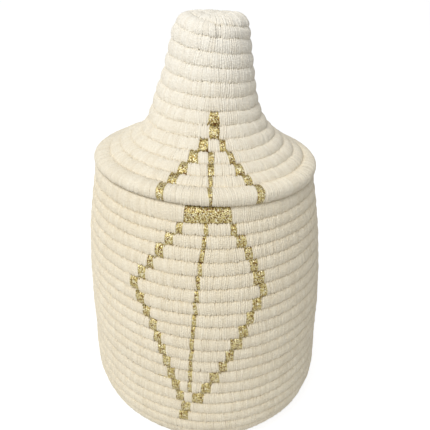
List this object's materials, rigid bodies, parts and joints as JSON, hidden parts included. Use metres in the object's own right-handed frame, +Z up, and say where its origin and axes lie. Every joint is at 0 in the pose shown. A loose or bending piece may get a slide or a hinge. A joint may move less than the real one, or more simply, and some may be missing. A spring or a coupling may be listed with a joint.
{
  "type": "lidded coiled basket",
  "caption": "Round lidded storage basket of yarn-bound coil: straight-sided body with a level mouth, and a tall cone lid with a narrow neck that lifts off.",
  "frame": {"origin": "middle of the base, on the surface that the basket stands on", "axes": "+Z up along the lid's lift, -Y towards the front with the gold figure, +X to the right of the front"},
  "size_m": [0.2022, 0.201, 0.3258],
  "materials": {
    "cream_yarn": "matt cotton yarn wound closely over grass",
    "gold_yarn": "metallic gold yarn with a glitter"
  },
  "bodies": {
    "basket": {"base_coil": "cream_yarn", "wall_coil": "cream_yarn", "rim_coil": "cream_yarn", "gold_rim_bar": "gold_yarn", "gold_diamond_left": "gold_yarn", "gold_diamond_right": "gold_yarn", "gold_diamond_centre": "gold_yarn", "gold_diamond_tip": "gold_yarn"},
    "lid": {"lid_crown_knot": "cream_yarn", "lid_coil": "cream_yarn", "lid_brim_coil": "cream_yarn", "lid_collar": "cream_yarn", "lid_gold_top": "gold_yarn", "lid_gold_left_leg": "gold_yarn", "lid_gold_right_leg": "gold_yarn", "lid_gold_centre": "gold_yarn"}
  },
  "joints": [
    {"name": "lid_lift", "type": "slide", "parent": "basket", "child": "lid", "axis": [0, 0, 1], "range_m": [0, 0.16]}
  ]
}
